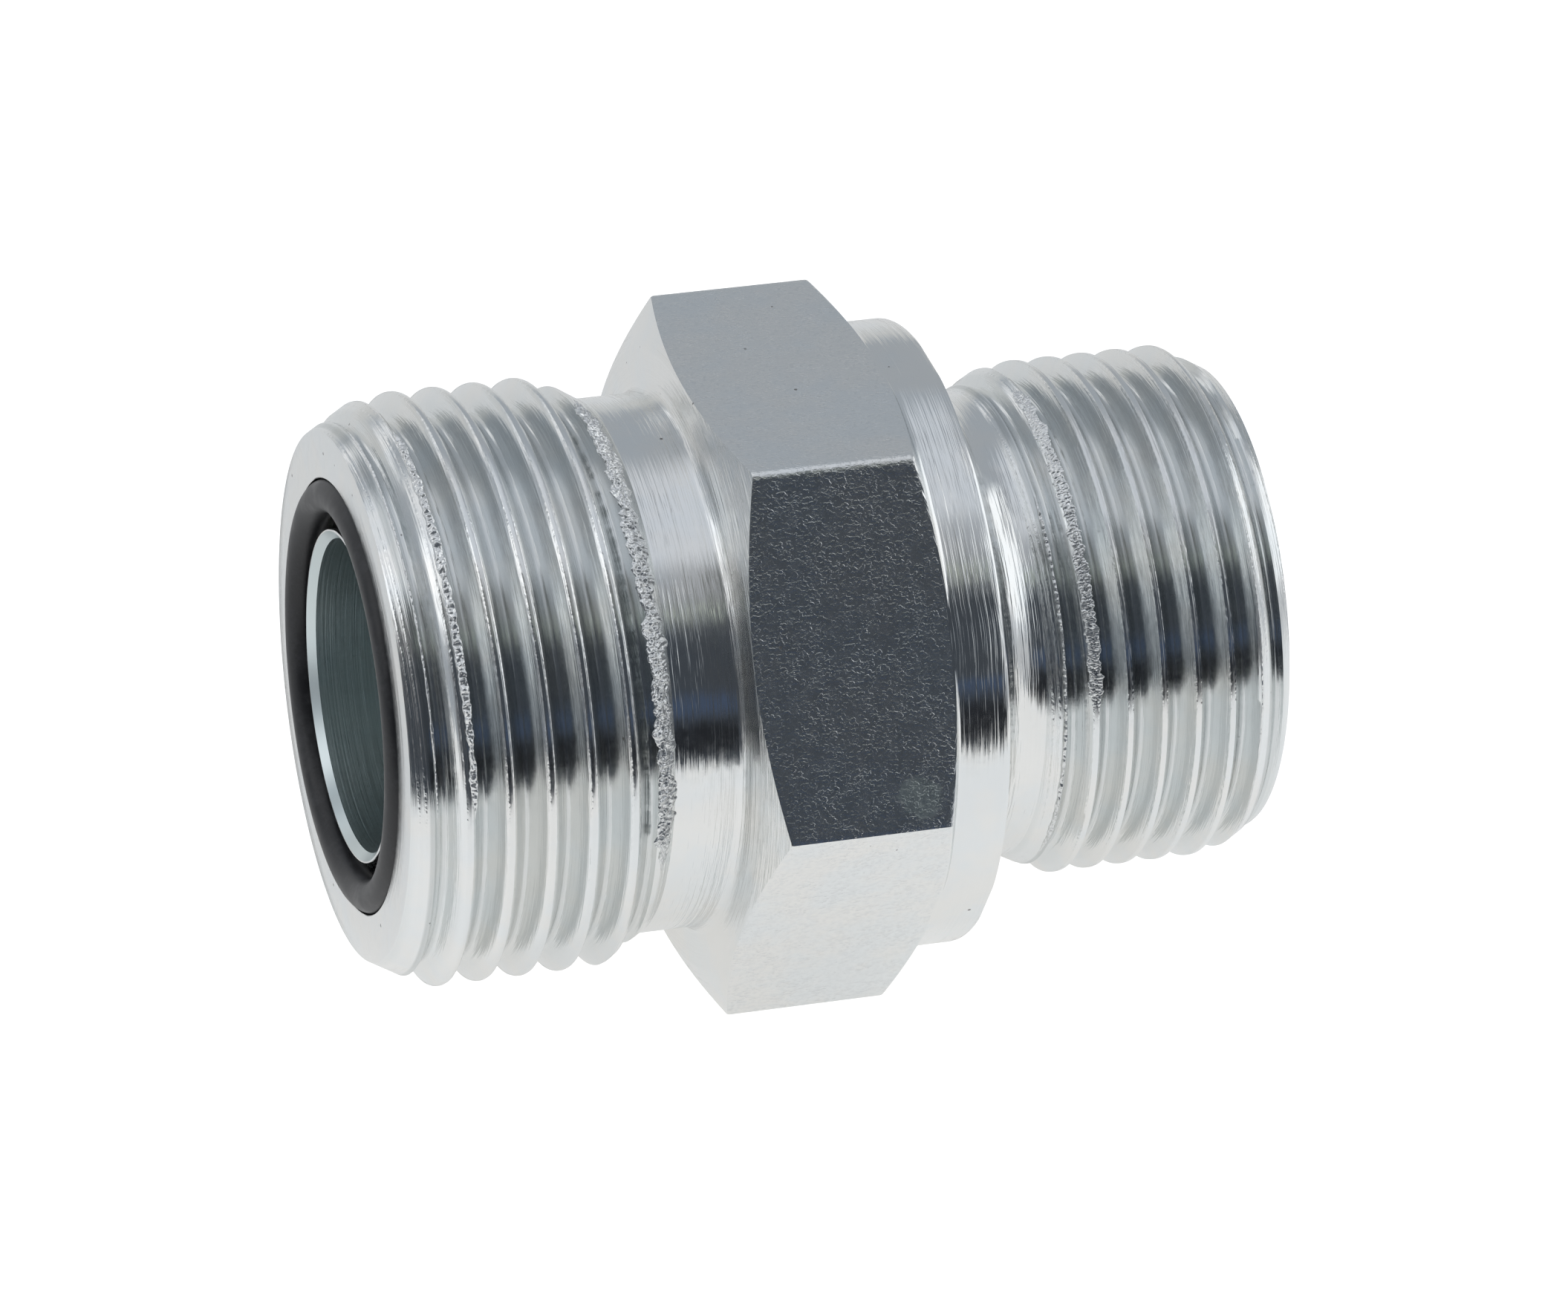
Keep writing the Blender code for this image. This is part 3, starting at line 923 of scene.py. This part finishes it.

# What the metal sees of the table glows with painted shade: a little darker near its front edge,
# and much darker from under the part backwards, a painted shadow of the part.
depth = place(tree, "ShaderNodeSeparateXYZ", spot).outputs[1]
glow_with_painted_shadow = calc(
    tree, "ADD", ramp_between(tree, depth, -0.035, -0.014, 0.54, 0.61),
    ramp_between(tree, depth, -0.010, 0.020, 0.0, -0.26),
)
glow = calc(tree, "MULTIPLY_ADD", path["Is Camera Ray"], 0.55, calc(tree, "MULTIPLY", seen, glow_with_painted_shadow))
glow = place(tree, "ShaderNodeEmission", (1.0, 0.995, 0.985, 1.0), glow)
both = place(tree, "ShaderNodeAddShader", paint.outputs[0], glow.outputs[0])
place(tree, "ShaderNodeOutputMaterial", both.outputs[0])
table_mesh.materials.append(white_table)

# Each wall or light of the studio: its colour, the middle and half width of its azimuth and of
# its elevation in degrees, and how soft each pair of its edges is. Azimuth 0 is towards -Y.
studio_walls = [
    ((0.68, 0.71, 0.76), (0, 400, 1), (90, 34, 16)),
    ((0.62, 0.63, 0.63), (180, 44, 14), (0, 10, 8)),
    ((0.15, 0.17, 0.165), (118, 19, 8), (-2, 10, 8)),
    ((0.36, 0.38, 0.41), (105, 24, 10), (54, 8, 8)),
    ((0.85, 0.87, 0.90), (-109, 34, 6), (50, 14, 12)),
    ((1.25, 1.27, 1.30), (-92, 17, 5), (30, 15, 6)),
    ((0.95, 0.96, 0.98), (-150, 18, 12), (20, 6, 5)),
    ((1.15, 1.18, 1.21), (83, 30, 6), (28, 20, 7)),
    ((0.55, 0.57, 0.60), (62, 16, 8), (4, 8, 6)),
    ((0.23, 0.24, 0.24), (-8, 46, 14), (54, 13, 8)),
    ((0.42, 0.44, 0.47), (30, 24, 20), (58, 10, 8)),
    ((0.17, 0.18, 0.18), (-44, 16, 10), (53, 12, 8)),
    ((0.17, 0.175, 0.185), (-61, 14, 4), (17, 33, 8)),
    ((0.055, 0.063, 0.075), (-10, 50, 10), (8, 41, 26)),
    ((0.42, 0.46, 0.42), (22, 13, 8), (48.5, 3.5, 5)),
    ((0.30, 0.33, 0.31), (-37, 8, 4), (47, 5, 4)),
    ((0.06, 0.085, 0.14), (8, 20, 10), (11, 4, 4)),
    ((0.020, 0.022, 0.026), (8, 34, 10), (-3, 7, 4)),
]
far_wall = (0.385, 0.415, 0.45)

studio = bpy.data.worlds.new("studio")
bpy.context.scene.world = studio
studio.use_nodes = True
tree = studio.node_tree
tree.nodes.clear()
direction = place(tree, "ShaderNodeTexCoord").outputs["Generated"]
parts = place(tree, "ShaderNodeSeparateXYZ", direction).outputs
azimuth = calc(tree, "ARCTAN2", parts[0], calc(tree, "MULTIPLY", parts[1], -1.0))
elevation = calc(tree, "ARCSINE", parts[2])


def soft_span(tree, angle, middle, half, soft, wrap):
    """1 inside a span of angles, falling to 0 over its soft edges."""
    off = calc(tree, "SUBTRACT", angle, math.radians(middle))
    if wrap:
        off = calc(tree, "WRAP", off, math.pi, -math.pi)
    off = calc(tree, "ABSOLUTE", off)
    low, high = math.radians(half - soft / 2), math.radians(half + soft / 2)
    ends = (low, high, 1.0, 0.0)
    return place(tree, "ShaderNodeMapRange", off, *ends, interpolation_type="SMOOTHSTEP").outputs[0]


light = (*far_wall, 1.0)
for colour, (middle, half, soft), (height, half_height, soft_height) in studio_walls:
    wall = calc(
        tree, "MULTIPLY",
        soft_span(tree, azimuth, middle, half, soft, wrap=True),
        soft_span(tree, elevation, height, half_height, soft_height, wrap=False),
    )
    light = blend_colours(tree, wall, light, (*colour, 1.0))
path = place(tree, "ShaderNodeLightPath").outputs
light = blend_colours(tree, path["Is Camera Ray"], light, (1.0, 1.0, 1.0, 1.0))
background = place(tree, "ShaderNodeBackground", light)
place(tree, "ShaderNodeOutputWorld", background.outputs[0])

bpy.context.scene.view_settings.view_transform = "Standard"
